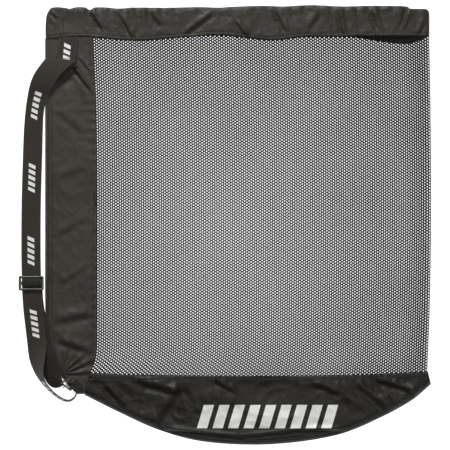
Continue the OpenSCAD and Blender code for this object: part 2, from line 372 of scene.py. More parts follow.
def webbing(name, colour, print_marks=True):
    """Twill webbing: slanted ribs, edges painted lighter as a painted highlight, and plain slanted bars
    printed at a steady repeat.
    """
    s = Shader(name, 0.7, Sheen_Weight=0.06, Sheen_Roughness=0.5, Specular_IOR_Level=0.3)
    u, v = s.cloth()
    zigzag = s.math("MULTIPLY", s.math("PINGPONG", v, 2.2), 0.7)
    ribs = s.math("SINE", s.math("MULTIPLY", s.math("ADD", u, zigzag), 2 * math.pi / 1.3))
    picks = s.math("SINE", s.math("MULTIPLY", v, 2 * math.pi / 1.1))
    weave = s.math("ADD", s.math("MULTIPLY", ribs, 0.6), s.math("MULTIPLY", picks, 0.4))
    edge = s.remap(s.math("ABSOLUTE", u), WEB_W / 2 - 2.6, WEB_W / 2 - 1.6, 0, 1)
    fuzz = s.noise(s.position(), 900, 3.0)
    cloudy = s.noise(s.position(), 40, 3.0)
    body = s.mix(s.remap(weave, -1, 1, 0, 1), tint(colour, 0.6), tint(colour, 1.3))
    body = s.mix(s.remap(cloudy, 0.3, 0.7, 0, 0.4), body, tint(colour, 1.25))
    # lighter colour along both edges of the strap: a painted highlight
    body = s.mix(s.math("MULTIPLY", edge, 0.3), body, tint(colour, 1.6))
    body = s.mix(s.remap(fuzz, 0.55, 0.8, 0, 0.5), body, tint(colour, 1.8))
    if print_marks:
        place = s.math("MODULO", v, PRINT_REPEAT)
        ink = slanted_bars(s, place, u, start=4, end=46.0, pitch=9.2, share=0.62,
                           low=-5.2, high=5.2, slant=0.45)
        body = s.mix(s.math("MULTIPLY", ink, s.remap(weave, -1, 1, 0.9, 1)), body, PRINT_WHITE)
    s.colour(body)
    s.bump(s.math("ADD", weave, s.math("MULTIPLY", fuzz, 0.8)), 0.7, 0.25)
    return s.m


def mesh_knit(name, colour):
    """Filament yarn of the knitted mesh."""
    s = Shader(name, 0.8, Specular_IOR_Level=0.15)
    u, v = s.cloth()
    yarn = s.math("SINE", s.math("MULTIPLY", s.math("ADD", u, v), 2 * math.pi / 0.55))
    fuzz = s.noise(s.position(), 1200, 2.0)
    cloudy = s.noise(s.position(), 15, 3.0)
    body = s.mix(s.remap(cloudy, 0.3, 0.7, 0, 1), tint(colour, 0.85), tint(colour, 1.2))
    body = s.mix(s.remap(yarn, -1, 1, 0, 0.5), body, tint(colour, 1.5))
    body = s.mix(s.remap(fuzz, 0.5, 0.8, 0, 0.5), body, tint(colour, 1.7))
    s.colour(body)
    s.bump(s.math("ADD", yarn, fuzz), 0.6, 0.15)
    return s.m


def plastic(name):
    """Moulded glossy acetal: faint moulding texture and fine scratches."""
    s = Shader(name, 0.22, Coat_Weight=0.3, Coat_Roughness=0.12, Specular_IOR_Level=0.5)
    grain = s.noise(s.position(), 1500, 2.0)
    scratch = s.noise(s.position(), 260, 6.0, 0.8)
    s.colour(s.mix(s.remap(scratch, 0.45, 0.7, 0, 1), (0.010, 0.010, 0.010), (0.022, 0.022, 0.022)))
    s.rough(s.remap(scratch, 0.4, 0.75, 0.18, 0.36))
    s.bump(grain, 0.15, 0.05)
    return s.m


def nickel(name):
    """Nickel-plated brass with handling marks and dulled recesses."""
    s = Shader(name, 0.4, Metallic=1.0)
    marks = s.noise(s.position(), 350, 5.0, 0.7)
    s.colour(s.mix(s.remap(marks, 0.4, 0.7, 0, 1), (0.93, 0.92, 0.89), (0.74, 0.73, 0.69)))
    s.rough(s.remap(marks, 0.35, 0.75, 0.32, 0.46))
    s.bump(marks, 0.2, 0.05)
    return s.m


def thread(name, colour):
    """Twisted sewing thread."""
    s = Shader(name, 0.5, Sheen_Weight=0.3)
    twist = s.node("ShaderNodeTexWave", wave_type="BANDS", bands_direction="DIAGONAL")
    twist.inputs["Scale"].default_value = 900
    s.put(twist.inputs["Vector"], s.position())
    s.colour(s.mix(twist.outputs["Fac"], tint(colour, 0.6), tint(colour, 1.4)))
    s.bump(twist.outputs["Fac"], 0.5, 0.1)
    return s.m


def bottom_print(s, u, v):
    """A plain band of slanted bars in place of any mark."""
    across = s.math("ADD", v, -PRINT_Y)
    return slanted_bars(s, u, across, start=-38, end=178, pitch=24.0, share=0.66, low=-18, high=18, slant=0.3)


SIDE = nylon("side_nylon", (0.031, 0.026, 0.019), 0.5, 0.03)
HEM = nylon("hem_nylon", (0.0265, 0.022, 0.0162), 0.5, 0.03)
BOTTOM = nylon("bottom_nylon", (0.0095, 0.008, 0.0056), 0.38, 0.0, bottom_print, 0.6)
WEB = webbing("strap_webbing", (0.034, 0.0285, 0.0215))
# a darker copy of the strap's webbing, without print: its darkness is painted shade for the return run in the
# shadow of the raised strap; the arch over the slider, the drawcord and the end loop use it too
WEB_PLAIN_SHADED = webbing("strap_webbing_plain_painted_shade", (0.018, 0.0152, 0.0118), False)
MESH = mesh_knit("mesh_yarn", (0.0125, 0.0118, 0.0105))
BINDING = nylon("binding_tape", (0.02, 0.019, 0.017), 0.6, 0.1)
PLASTIC = plastic("slider_acetal")
NICKEL = nickel("nickel_plate")
THREAD = thread("sewing_thread", (0.05, 0.047, 0.04))

# ---------------------------------------------------------------- how the flat bag lies
EDGE_R = 14.0                            # how far from an edge the bag reaches its full thickness
TOP_Z = FRONT_Z + 0.9                    # face of the front layer, in mm above the floor
EDGE_Z = 1.7                             # its height at the bag's edges
FACE_LOW = 1.3                           # no fold goes lower than this
PANEL_T = 0.6                            # thickness of the side panels


def swell(distance, reach=EDGE_R):
    """0 at an edge, rising roundly to 1."""
    t = np.clip(distance / reach, 0, 1)
    return np.sqrt(1 - (1 - t) ** 2)


def edge_distance(x, y):
    left = x - x_at(LEFT_C, y)
    right = x_at(FOLD_C, y) - x
    low = (y - np.interp(x, EDGE_C[:, 0], EDGE_C[:, 1])) * 0.9
    return np.clip(np.minimum(np.minimum(left, np.where(y < -225, 99, right)), low), 0, None)


def lie(x, y):
    """Height of the front layer's face before any folds."""
    return EDGE_Z + (TOP_Z - EDGE_Z) * swell(edge_distance(x, y))


def near(x, y, at, radius):
    return np.exp(-((x - at[0]) ** 2 + (y - at[1]) ** 2) / radius ** 2)


def side_z(x, y):
    """Face of the front side panel."""
    seam = x_at(SIDE_C, y) - x
    edge = x - x_at(LEFT_C, y)
    z = lie(x, y)
    z = (z + 0.9 * waves(x * 1.6, y, 120, 11) + 0.8 * rumple(x * 1.3, y * 0.8, 50, 12)
         + 0.25 * rumple(x, y, 19, 15))
    z += pucker(-y, seam, 15, 0.75, 9, 13) + pucker(-y, edge, 12, 0.35, 5, 14)
    # the felled seam stands proud between its two rows of stitches
    z += 0.8 * np.exp(-((seam - 3.2) / 2.6) ** 4) - 0.5 * np.exp(-((seam - 6.6) / 0.7) ** 2)
    z -= 0.5 * np.exp(-((edge - 7.5) / 0.8) ** 2) * (edge < 20)
    for a, b, width, height in (
            ((-236, 246), (-205, 204), 5, 1.9), ((-243, 262), (-226, 228), 6, 1.0),
            ((-228, 262), (-207, 235), 4, 0.9), ((-262, 180), (-215, 140), 11, 0.9),
            ((-262, 70), (-212, 92), 12, 0.8), ((-268, -20), (-206, 14), 10, 0.7),
            ((-262, -95), (-206, -60), 10, 0.8), ((-268, -150), (-202, -136), 13, 1.9),
            ((-264, -176), (-206, -196), 10, 1.7)):
        z += fold(x, y, a, b, width, height)
    z -= 5.2 * near(x, y, (-248, 231), 15)
    z += 0.7 * rumple(x, y, 46, 16) * np.clip((-y - 90) / 90, 0, 1)
    # folds that run out from the gathered corner
    gather = np.array([-253.0, -231.0])
    dx, dy = x - gather[0], y - gather[1]
    r, angle = np.hypot(dx, dy), np.degrees(np.arctan2(dy, dx))
    for turn, width, height, reach in ((8, 7, 1.7, 52), (27, 6, 2.6, 66), (45, 7, 2.4, 62),
                                       (62, 7, 2.0, 60), (80, 8, 2.2, 58), (101, 9, 1.6, 52)):
        side = (angle - turn) / width
        run = np.clip(r / 10, 0, 1) * np.clip(1.25 - r / reach, 0, 1)
        z += 1.25 * height * run * (np.exp(-side ** 2) - 0.9 * np.exp(-(side + 1.5) ** 2))
    z += 3.5 * np.exp(-(r / 20) ** 2)
    return np.maximum(z, FACE_LOW)


def bottom_z(x, y):
    """Face of the front bottom panel: thin, shiny and crumpled."""
    seam = np.interp(x, BOTTOM_C[:, 0], BOTTOM_C[:, 1]) - y
    edge = edge_distance(x, y)
    inner = np.clip(edge / 16, 0, 1) * np.clip(0.35 + seam / 22, 0, 1)
    z = lie(x, y)
    z += inner * (1.5 * waves(x, y * 1.5, 95, 21) + 1.5 * rumple(x, y * 1.4, 64, 22)
                  + 0.5 * rumple(x, y, 27, 23))
    z += pucker(x, seam, 13, 0.9, 10, 24) + pucker(x, edge, 16, 0.5, 7, 25)
    z += 0.6 * np.exp(-((seam - 3.4) / 2.8) ** 4) - 0.5 * np.exp(-((seam - 7) / 0.7) ** 2)
    for a, b, width, height in (
            ((-104, -314), (30, -328), 5, 2.4), ((20, -328), (126, -316), 5, 2.0),
            ((110, -318), (190, -316), 6, 1.8), ((-58, -240), (-112, -318), 15, -3.2),
            ((-190, -246), (-150, -284), 9, 2.0), ((-150, -238), (-60, -262), 10, 2.2),
            ((-20, -238), (22, -262), 8, 1.5), ((190, -240), (262, -288), 12, 2.4),
            ((228, -238), (304, -262), 9, 2.0), ((130, -244), (180, -262), 8, 1.6)):
        z += fold(x, y, a, b, width, height)
    return np.maximum(z, FACE_LOW)


# ---------------------------------------------------------------- panels


def panel(name, left, right, top, bottom, columns, rows, height, material, thick=PANEL_T):
    """A sheet between two curves left(y), right(y), or top(x), bottom(x)."""
    t, s = np.meshgrid(np.linspace(0, 1, rows), np.linspace(0, 1, columns), indexing="ij")
    if left is not None:
        y = top + (bottom - top) * t
        x = left(y) * (1 - s) + right(y) * s
    else:
        x = EDGE_C[0, 0] + (EDGE_C[-1, 0] - EDGE_C[0, 0]) * s
        y = top(x) * (1 - t) + bottom(x) * t
    points = np.stack([x, y, height(x, y)], axis=-1).reshape(-1, 3)
    ob = new_mesh(name, points, grid_faces(rows, columns)[:, ::-1], material, points[:, :2])
    thicken(ob, thick)
    return ob


RIGHT_OF_SIDE = np.vstack([SIDE_C, CORNER_C[1:]])


def left_x(y):
    return x_at(LEFT_C, y)


def right_x(y):
    return x_at(RIGHT_OF_SIDE, y)


def bottom_top(x):
    return np.interp(x, BOTTOM_C[:, 0], BOTTOM_C[:, 1])


def bottom_low(x):
    """The curved edge; left of the seam's start it closes towards the corner."""
    return np.minimum(np.interp(x, EDGE_C[:, 0], EDGE_C[:, 1]), bottom_top(x) - 0.5)


def bottom_high(x):
    """The upper edge: the corner's seam, the mesh's seam, then the right-hand tip."""
    on_corner = np.interp(x, CORNER_C[::-1, 0], CORNER_C[::-1, 1])
    tip = BOTTOM_C[-1, 1] - (x - BOTTOM_C[-1, 0]) * 3.9
    return np.where(x < -209, on_corner, np.minimum(bottom_top(x), tip))


def back_z(x, y):
    return 1.35 - 0.35 * swell(edge_distance(x, y)) + 0.15 * waves(x, y, 90, 31)


FINE = 1
PANEL_FOOT = -262                        # lower end of the side panels
BOTTOM_T = 0.4                           # thickness of the bottom panels
side_front = panel("front_side_panel_cloth", left_x, right_x, HEM_Y + UNDER_HEM, PANEL_FOOT,
                   76 // FINE, 480 // FINE, side_z, SIDE)
finish_piece(side_front, "bag", "side_nylon", "front_side_panel")
side_back = panel("back_side_panel_cloth", left_x, right_x, HEM_Y + UNDER_HEM, PANEL_FOOT,
                  30, 180, back_z, SIDE)
finish_piece(side_back, "bag", "side_nylon", "back_side_panel")
bottom_front = panel("front_bottom_panel_cloth", None, None, bottom_high, bottom_low,
                     460 // FINE, 96 // FINE, bottom_z, BOTTOM, BOTTOM_T)
finish_piece(bottom_front, "bag", "bottom_nylon", "front_bottom_panel")
bottom_back = panel("back_bottom_panel_cloth", None, None, bottom_high, bottom_low,
                    150, 40, back_z, BOTTOM, BOTTOM_T)
finish_piece(bottom_back, "bag", "bottom_nylon", "back_bottom_panel")


# ---------------------------------------------------------------- the knitted mesh
CELL_X, CELL_Y = 6.9, 4.39               # the lattice repeats over this, with a second hole at its centre
HOLE = 0.585                             # size of a hole beside its cell
YARN_T = 0.5                             # thickness of the knit at its ridges
FOLD_TURN = 10.0                         # where the turn over the fold starts, in from the fold
MESH_PARTS = 6                           # pieces that the knit is cut into


def fold_section():
    """The mesh's section round its right-hand fold: (offset from the fold's X, height)."""
    mid, back = 5.0, 1.0
    a = np.linspace(0, math.pi / 2, 14)
    over = np.stack([-FOLD_TURN + FOLD_TURN * np.sin(a), mid + (TOP_Z - mid) * np.cos(a)], axis=1)
    under = np.stack([-6 + 6 * np.cos(a), mid - (mid - back) * np.sin(a)], axis=1)
    return np.vstack([over, under[1:], [(-FOLD_TURN, back)]])


TURN = fold_section()
TURN_LENGTH = lengths(TURN)
FLAT_C, TURN_C = 74 * CELL_X, 3 * CELL_X  # columns of the lattice on a face, and round the fold


def mesh_place(c, v):
    """Where a point of the mesh lies: c along it from the side seam, over the fold and back; v is Y."""
    x0, x1 = x_at(SIDE_C, v) - 2, x_at(FOLD_C, v)
    stretch = (x1 - FOLD_TURN - x0) / FLAT_C
    front, past = c < FLAT_C, c - FLAT_C - TURN_C
    turn = np.clip((c - FLAT_C) / TURN_C, 0, 1) * TURN_LENGTH[-1]
    x = np.where(front, x0 + c * stretch, np.interp(turn, TURN_LENGTH, TURN[:, 0]) + x1)
    x = np.where(past > 0, x1 - FOLD_TURN - past * stretch, x)
    calm = swell(x - x0, 24)
    low = np.clip((v - bottom_top(x)) / 26, 0, 1)
    rise = (0.6 * waves(x, v, 150, 41) + 0.15 * waves(x, v, 60, 42)) * calm
    rise += pucker(-v, x - x0, 15, 0.6, 10, 13) + pucker(x, v - bottom_top(x), 13, 0.8, 12, 24)
    blend = np.clip((FLAT_C - c) / 30, 0, 1)
    z = TOP_Z * (1 - blend) + (TOP_Z - 0.5 + rise - 2.2 * calm * low) * blend
    z = np.where(front, z, np.interp(turn, TURN_LENGTH, TURN[:, 1]))
    z = np.where(past > 0, 1.0 + 0.1 * rise, z)
    return np.stack([x, v, np.maximum(z, 0.7)], axis=-1)


HEX = np.array([(1.027, 2.195), (2.423, 0), (1.027, -2.195), (-1.027, -2.195), (-2.423, 0), (-1.027, 2.195)])


def knit(name, cells, material):
    """Hexagons of yarn round the given hole centres (c, v); neighbours share their corners."""
    outer = (cells[:, None, :] + HEX[None]).reshape(-1, 2)
    inner = (cells[:, None, :] + HEX[None] * HOLE).reshape(-1, 2)
    _, first, where = np.unique(np.round(outer * 50).astype(np.int64), axis=0,
                                return_index=True, return_inverse=True)
    outer = outer[first]
    ring = where.reshape(-1, 6)
    n = len(outer)
    top = mesh_place(outer[:, 0], outer[:, 1])
    rim = mesh_place(inner[:, 0], inner[:, 1])
    dc = mesh_place(outer[:, 0] + 0.5, outer[:, 1]) - top
    normal = np.stack([-dc[:, 2], np.zeros(n), dc[:, 0]], axis=1)
    normal /= np.maximum(np.linalg.norm(normal, axis=1, keepdims=True), 1e-6)
    points = np.vstack([top + normal * YARN_T / 2, top - normal * YARN_T / 2, rim])
    rims = 2 * n + np.arange(len(cells) * 6).reshape(-1, 6)
    nxt = np.roll(np.arange(6), -1)
    upper = np.stack([ring, rims, rims[:, nxt], ring[:, nxt]], axis=-1).reshape(-1, 4)
    lower = np.stack([ring + n, ring[:, nxt] + n, rims[:, nxt], rims], axis=-1).reshape(-1, 4)
    cloth = np.vstack([outer, outer, inner])
    return new_mesh(name, points, np.vstack([upper, lower]), material, cloth)


def make_mesh():
    length = 2 * FLAT_C + TURN_C
    i, j = np.meshgrid(np.arange(round(length / CELL_X) + 1), np.arange(-110, 140), indexing="ij")
    a = np.stack([i.ravel() * CELL_X, j.ravel() * CELL_Y], axis=1)
    cells = np.vstack([a, a + (CELL_X / 2, CELL_Y / 2)])
    place = mesh_place(cells[:, 0], cells[:, 1])
    keep = (cells[:, 1] < HEM_Y + UNDER_HEM) & (cells[:, 1] > bottom_top(place[:, 0]) - 2.5)
    keep &= cells[:, 0] < length - 1
    cells = cells[keep]
    order = np.floor(cells[:, 0] / (length / MESH_PARTS)).astype(int)
    names = ("front_mesh", "back_mesh", "mesh_side_fold")
    for k in range(MESH_PARTS):
        ob = knit(f"knitted_mesh_{k + 1}", cells[order == k], MESH)
        finish_piece(ob, "bag", "mesh", *(names if k == 0 else ()))


make_mesh()


# ---------------------------------------------------------------- the mouth hem
HEM_FOOT = smooth([(-277.5, 286), (-262, 288), (-235, 290.3), (-205, 290), (-172, 287), (-147, 285.4),
                   (-120, 285.6), (-70, 290), (-15, 293.4), (20, 291), (62, 286), (88, 286.5),
                   (120, 290.5), (180, 291), (250, 292), (316, 291.5)])
HEM_TOP = smooth([(-277.5, 311), (-276, 324), (-270, 334.5), (-262, 336.6), (-247, 335.8), (-240, 334.2),
                  (-230, 336.8), (-216, 336.4), (-209, 332.8), (-200, 336.6), (-180, 336.2), (-165, 334.6),
                  (-140, 336.2), (-90, 336), (-40, 337), (-10, 336.2), (15, 337.6), (60, 339), (90, 338),
                  (134, 340), (180, 338), (225, 339), (278, 338.2), (286, 334.6), (310, 334),
                 (316, 330)], 900)


def hem_foot(x):
    """Y of the hem's stitched foot."""
    return np.interp(x, HEM_FOOT[:, 0], HEM_FOOT[:, 1])


def hem_top(x):
    """Y of the bag's open edge."""
    return np.interp(x, HEM_TOP[:, 0], HEM_TOP[:, 1])


def hem_ends(x):
    return swell(np.minimum(x - LEFT, HEM_RIGHT - x), 18)


def hem_face(x, y):
    """Outer face of the front hem."""
    up, down = hem_top(x) - y, y - hem_foot(x)
    ends = hem_ends(x)
    z = 7.6 + 4.6 * ends
    z += ends * (0.8 * waves(x, y * 1.6, 90, 51) + 1.1 * rumple(x, y * 1.2, 40, 52)
                 + 0.35 * rumple(x, y, 17, 55))
    z += pucker(x, up, 19, 1.5, 13, 53) + pucker(x, down, 14, 0.4, 6, 54)
    z -= 0.8 * np.exp(-((down - 4.4) / 1.0) ** 2) + 1.6 * np.exp(-down / 1.6)
    z -= 3.2 * (1 - swell(up, 7))
    seam = x + 249.5
    z += 0.8 / (1 + np.exp(seam / 0.5)) - 0.6 * np.exp(-(seam / 0.9) ** 2)
    for a, b, width, height in (
            ((-66, 292), (-12, 332), 7, 1.8), ((14, 318), (36, 289), 6, 1.7),
            ((176, 335), (182, 292), 6, 1.5), ((-164, 328), (-142, 288), 6, 1.7),
            ((-210, 333), (-188, 300), 6, 1.6), ((-120, 334), (-96, 306), 8, 1.2),
            ((76, 336), (96, 296), 7, 1.4), ((126, 300), (150, 334), 8, 1.2),
            ((226, 334), (240, 298), 7, 1.4), ((284, 336), (272, 300), 5, 1.6),
            ((-270, 330), (-258, 318), 4, 1.2), ((296, 292), (312, 322), 6, 1.2)):
        z += fold(x, y, a, b, width, height)
    return z


def hem_tube(name, foot, face, under, columns, body_nodes):
    """A flattened tube between the hem's foot and its open edge."""
    x = np.linspace(LEFT, HEM_RIGHT, columns)
    high = 34
    t = (1 - np.cos(np.linspace(0, math.pi, high))) / 2
    X, T = np.meshgrid(x, t, indexing="ij")
    Y = foot(X) + (hem_top(X) - foot(X)) * T
    top_z, low_z = face(X, Y), under(X, Y)
    seam = 0.5 * (top_z + low_z)
    top_z[:, [0, -1]] = seam[:, [0, -1]]
    up = np.stack([X, Y, top_z], axis=-1)
    down = np.stack([X, Y, np.minimum(low_z, top_z - 0.4)], axis=-1)[:, -2:0:-1]
    rings = np.concatenate([up, down], axis=1)
    n = rings.shape[1]
    points = rings.reshape(-1, 3)
    faces = grid_faces(columns, n, wrap=True)
    ob = new_mesh(name, points, faces[:, ::-1], HEM, points[:, :2])
    close_ends(ob)
    return finish_piece(ob, "bag", "side_nylon", *body_nodes)


def close_ends(ob):
    """Fills the open ends of a tube and turns every face outwards."""
    b = bmesh.new()
    b.from_mesh(ob.data)
    bmesh.ops.holes_fill(b, edges=[e for e in b.edges if e.is_boundary], sides=0)
    bmesh.ops.recalc_face_normals(b, faces=b.faces)
    b.to_mesh(ob.data)
    b.free()


def front_under(x, y):
    return 5.4 + (FRONT_Z - 5.4) * hem_ends(x)


def back_face(x, y):
    return 5.0 - 1.3 * hem_ends(x) + 0.25 * waves(x, y, 60, 61)


def back_under(x, y):
    return 1.5 - 1.2 * hem_ends(x)


def back_foot(x):
    """The back hem droops below the front one towards the right."""
    droop = np.clip((x - 190) / 88, 0, 1) * np.clip((HEM_RIGHT - x) / 34, 0, 1)
    return hem_foot(x) - 11.5 * np.sin(droop * math.pi / 2) ** 1.5


hem_tube("front_hem_cloth", hem_foot, hem_face, front_under, 620 // FINE,
         ("front_hem", "hem_left_fold", "hem_right_fold"))
hem_tube("back_hem_cloth", back_foot, back_face, back_under, 200, ("back_hem",))


# ---------------------------------------------------------------- tubes, stitches and tapes


def sweep(name, path, sides, radius_u, radius_v, material, closed=False):
    """A closed tube along a path of points in mm, with an oval section: u across, v up."""
    path = np.array(path, float)
    tangent = np.gradient(path, axis=0)
    if closed:
        tangent = np.roll(path, -1, 0) - np.roll(path, 1, 0)
    tangent /= np.linalg.norm(tangent, axis=1, keepdims=True)
    side = np.cross([0.0, 0.0, 1.0], tangent)
    weak = np.linalg.norm(side, axis=1) < 0.2
    side[weak] = np.cross([0.0, 1.0, 0.0], tangent[weak])
    side /= np.linalg.norm(side, axis=1, keepdims=True)
    up = np.cross(tangent, side)
    a = np.linspace(0, 2 * math.pi, sides, endpoint=False)
    rings = (path[:, None] + side[:, None] * np.cos(a)[None, :, None] * radius_u
             + up[:, None] * np.sin(a)[None, :, None] * radius_v)
    points = rings.reshape(-1, 3)
    rows = len(path)
    faces = grid_faces(rows, sides, wrap=True, closed=closed)
    along = np.repeat(lengths(path), sides)
    across = np.tile(np.cos(a) * radius_u, rows)
    ob = new_mesh(name, points, faces, material, np.stack([across, along], axis=1))
    close_ends(ob)
    return ob


def lift_path(curve, height, offset=0.0, rise=0.0):
    """A plan curve moved sideways, with its height from a surface."""
    d = np.gradient(curve, axis=0)
    d /= np.linalg.norm(d, axis=1, keepdims=True)
    p = curve + np.stack([-d[:, 1], d[:, 0]], axis=1) * offset
    return np.column_stack([p, height(p[:, 0], p[:, 1]) + rise])


def stitches(name, paths, body, length=2.7, pitch=3.7, radius=0.42):
    """Rows of separate stitches, each a short thread that dips at both ends."""
    points, faces, count = [], [], 0
    ring = np.array([(0, 1, 2), (0, 2, 3), (0, 3, 4), (0, 4, 1), (1, 5, 6), (1, 6, 2), (2, 6, 7), (2, 7, 3),
                     (3, 7, 8), (3, 8, 4), (4, 8, 5), (4, 5, 1), (5, 9, 6), (6, 9, 7), (7, 9, 8), (8, 9, 5)])
    for path in paths:
        total = lengths(path)
        for at in np.arange(pitch / 2, total[-1] - pitch / 2, pitch):
            a, b, c, d = (np.array([np.interp(at + length * k, total, path[:, i]) for i in range(3)])
                          for k in (-0.5, -0.28, 0.28, 0.5))
            t = (d - a) / max(np.linalg.norm(d - a), 1e-6)
            side = np.cross(t, [0, 0, 1])
            side /= max(np.linalg.norm(side), 1e-6)
            up = np.cross(side, t)
            around = [side * radius, up * radius, -side * radius, -up * radius]
            dip = up * radius * 0.8
            points += [a - dip] + [b + r for r in around] + [c + r for r in around] + [d - dip]
            faces.append(ring + count)
            count += 10
    ob = new_mesh(name, np.array(points), np.vstack(faces), THREAD)
    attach(ob, body)
    return ob


SIDE_ROW = SIDE_C[(SIDE_C[:, 1] < HEM_Y - 3)]
LEFT_ROW = LEFT_C[(LEFT_C[:, 1] < HEM_Y - 3) & (LEFT_C[:, 1] > -205)]
side_rows = [lift_path(resample(SIDE_ROW, 700), side_z, -off, 0.15) for off in (1.6, 5.6)]
side_rows.append(lift_path(resample(LEFT_ROW, 600), side_z, 7.5, 0.25))
corner_row = smooth(CORNER_SEAM, 40)
side_rows.append(lift_path(corner_row, side_z, -2.6, 0.3))
stitches("side_panel_stitches", side_rows, "bag")

BOTTOM_ROW = BOTTOM_C[(BOTTOM_C[:, 0] > -205) & (BOTTOM_C[:, 0] < 309)]
bottom_rows = [lift_path(resample(BOTTOM_ROW, 700), bottom_z, -off, 0.2) for off in (1.5, 5.4)]
edge_row = EDGE_C[(EDGE_C[:, 0] > -205) & (EDGE_C[:, 1] < -252)]
bottom_rows.append(lift_path(resample(edge_row, 700), bottom_z, 5.5, 0.2))
stitches("bottom_panel_stitches", bottom_rows, "bag")

hem_x = np.linspace(LEFT + 2, 313, 700)
hem_row = np.column_stack([hem_x, hem_foot(hem_x) + 3.4])
hem_rows = [np.column_stack([hem_row, hem_face(hem_row[:, 0], hem_row[:, 1]) + 0.25])]
seam_y = np.linspace(HEM_Y + 4, 332, 40)
seam_x = np.full(40, -251.4)
hem_rows.append(np.column_stack([seam_x, seam_y, hem_face(seam_x, seam_y) + 0.2]))
stitches("hem_stitches", hem_rows, "bag")

# Bindings that close the raw edges inside each seam, and the closed edges of the panels.
BINDING_W = 5


def flat_tape(name, curve, height, thick, node):
    path = np.column_stack([curve, height(curve[:, 0], curve[:, 1])])
    ob = sweep(name, path, 8, BINDING_W / 2, thick / 2, BINDING)
    return finish_piece(ob, "bag", "tape", node)


inner_side = lift_path(resample(SIDE_ROW, 120), side_z, -3.4)[:, :2]
flat_tape("front_side_binding", inner_side, lambda x, y: lie(x, y) - 1.9, 0.8, "front_side_tape")
flat_tape("back_side_binding", inner_side, lambda x, y: back_z(x, y) + 0.7, 0.7, "back_side_tape")
INNER_ROW = BOTTOM_C[(BOTTOM_C[:, 0] > -195) & (BOTTOM_C[:, 0] < 300)]
inner_bottom = lift_path(resample(INNER_ROW, 120), bottom_z, -3.6)[:, :2]
flat_tape("front_bottom_binding", inner_bottom, lambda x, y: lie(x, y) - 2.4, 0.8, "front_bottom_tape")
flat_tape("back_bottom_binding", inner_bottom, lambda x, y: back_z(x, y) + 0.7, 0.7, "back_bottom_tape")


def edge_bead(name, curve, slot, material, node, radius=0.95):
    """The rolled seam allowance that closes an edge."""
    wobble = 0.12 * np.sin(lengths(curve) / 2.9) + 0.12 * np.sin(lengths(curve) / 1.7)
    path = np.column_stack([curve, 1.45 + wobble])
    return finish_piece(sweep(name, path, 8, radius + 0.3, radius, material), "bag", slot, node)


edge_bead("side_edge_bead", resample(LEFT_C[LEFT_C[:, 1] < HEM_Y], 420), "side_nylon", SIDE, "side_edge_seam")
edge_bead("bottom_edge_bead", resample(np.vstack([EDGE_C, BOTTOM_C[-1:]]), 500),
          "bottom_nylon", BOTTOM, "bottom_edge_seam")


# ---------------------------------------------------------------- the drawcord, inside the hem


def make_drawcord():
    x = np.linspace(-268, 306, 160)
    y = np.full_like(x, MOUTH_Y - 22)
    front = np.column_stack([x, y, 0.5 * (front_under(x, y) + hem_face(x, y))])
    back = np.column_stack([x, y, 0.5 * (back_under(x, y) + back_face(x, y))])[::-1]
    path = resample(np.vstack([front, back, front[:1]]), 500)[:-1]
    cord = sweep("drawcord_braid", path, 8, 1.2, 1.2, WEB_PLAIN_SHADED, closed=True)
    finish_piece(cord, "bag", "cord", "drawcord")


make_drawcord()


# ---------------------------------------------------------------- the strap
FLAT_Z = RUN_LOW[2] + WEB_T / 2 + 0.1    # middle of the strap's upper layer
LOWER_Z = 1.0                            # middle of its lower layer
ROUTE_STEPS = 20


def strip(name, route, rings, material, start_v=0.0):
    """Webbing from rows of [centre x, y, z, half across x, y, z] in mm."""
    r = smooth(route, rings, ROUTE_STEPS)
    centre, half = r[:, :3], r[:, 3:]
    through = np.cross(np.gradient(centre, axis=0), half)
    through /= -np.maximum(np.linalg.norm(through, axis=1, keepdims=True), 1e-9)
    # the webbing stays clear of the floor
    centre[:, 2] = np.maximum(centre[:, 2], np.abs(half[:, 2]) + WEB_T / 2 * np.abs(through[:, 2]) + 0.25)
    count = 12
    u = np.concatenate([np.linspace(-1, 1, count), np.linspace(1, -1, count)])
    edge = np.sqrt(np.clip(1 - np.abs(u) ** 10, 0, 1))
    high = np.where(np.arange(2 * count) < count, 0.5, -0.5) * edge * WEB_T
    points = centre[:, None] + half[:, None] * u[None, :, None] + through[:, None] * high[None, :, None]
    along = lengths(centre)
    cloth = np.stack([np.tile(u * WEB_W / 2, rings), np.repeat(along + start_v, 2 * count)], axis=1)
    ob = new_mesh(name, points.reshape(-1, 3), grid_faces(rings, 2 * count, wrap=True), material, cloth)
    close_ends(ob)
    return ob, along[-1]


def ribbon(name, route, rings, material, start_v=0.0):
    """Webbing along [x, y, z, width, roll]: roll 0 lies flat, 90 stands on its edge."""
    r = smooth(route, 60, ROUTE_STEPS)
    d = np.gradient(r[:, :2], axis=0)
    d /= np.maximum(np.linalg.norm(d, axis=1, keepdims=True), 1e-9)
    roll, w = np.radians(r[:, 4]), r[:, 3] / 2
    half = np.column_stack([-d[:, 1] * np.cos(roll) * w, d[:, 0] * np.cos(roll) * w, np.sin(roll) * w])
    return strip(name, np.hstack([r[:, :3], half]), rings, material, start_v)


def between(left, right):
    """Rows for a strip from the [x, y, z] of its two edges."""
    left, right = np.array(left, float), np.array(right, float)
    return np.hstack([(left + right) / 2, (right - left) / 2])


SLIDE_Y = SLIDER_MID[1]
GX, GY, GZ = GROMMET

